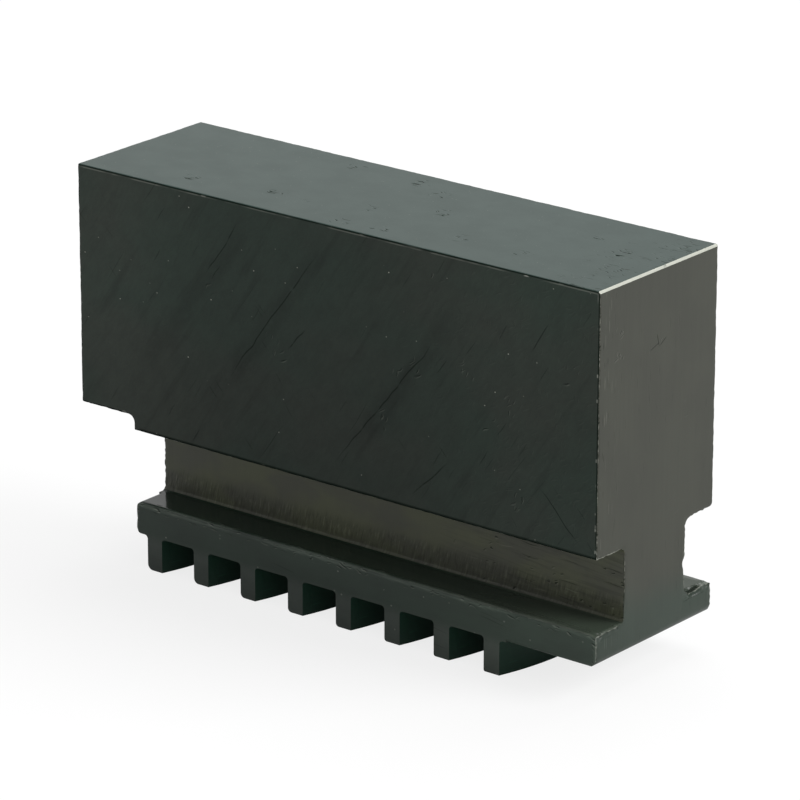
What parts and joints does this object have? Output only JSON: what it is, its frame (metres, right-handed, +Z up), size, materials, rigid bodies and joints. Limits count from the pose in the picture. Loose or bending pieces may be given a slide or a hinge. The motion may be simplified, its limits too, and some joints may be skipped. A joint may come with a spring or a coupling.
{
  "type": "machinable soft jaw for a scroll chuck",
  "caption": "Unhardened one-piece steel jaw with a plain block, a grooved T guide and curved scroll teeth, for a self-centring lathe chuck.",
  "frame": {"origin": "under the middle of the jaw's outline, level with the tips of the scroll teeth", "axes": "+X along the jaw from its inner, gripping end to its outer end, +Y across it, +Z up to the block's top"},
  "size_m": [0.0844, 0.0244, 0.0538],
  "materials": {
    "blackened_steel": "milled and ground steel with a thin black oxide, semi-gloss, bright where edges are rubbed"
  },
  "bodies": {
    "root": {"soft_jaw": "blackened_steel"}
  },
  "joints": []
}
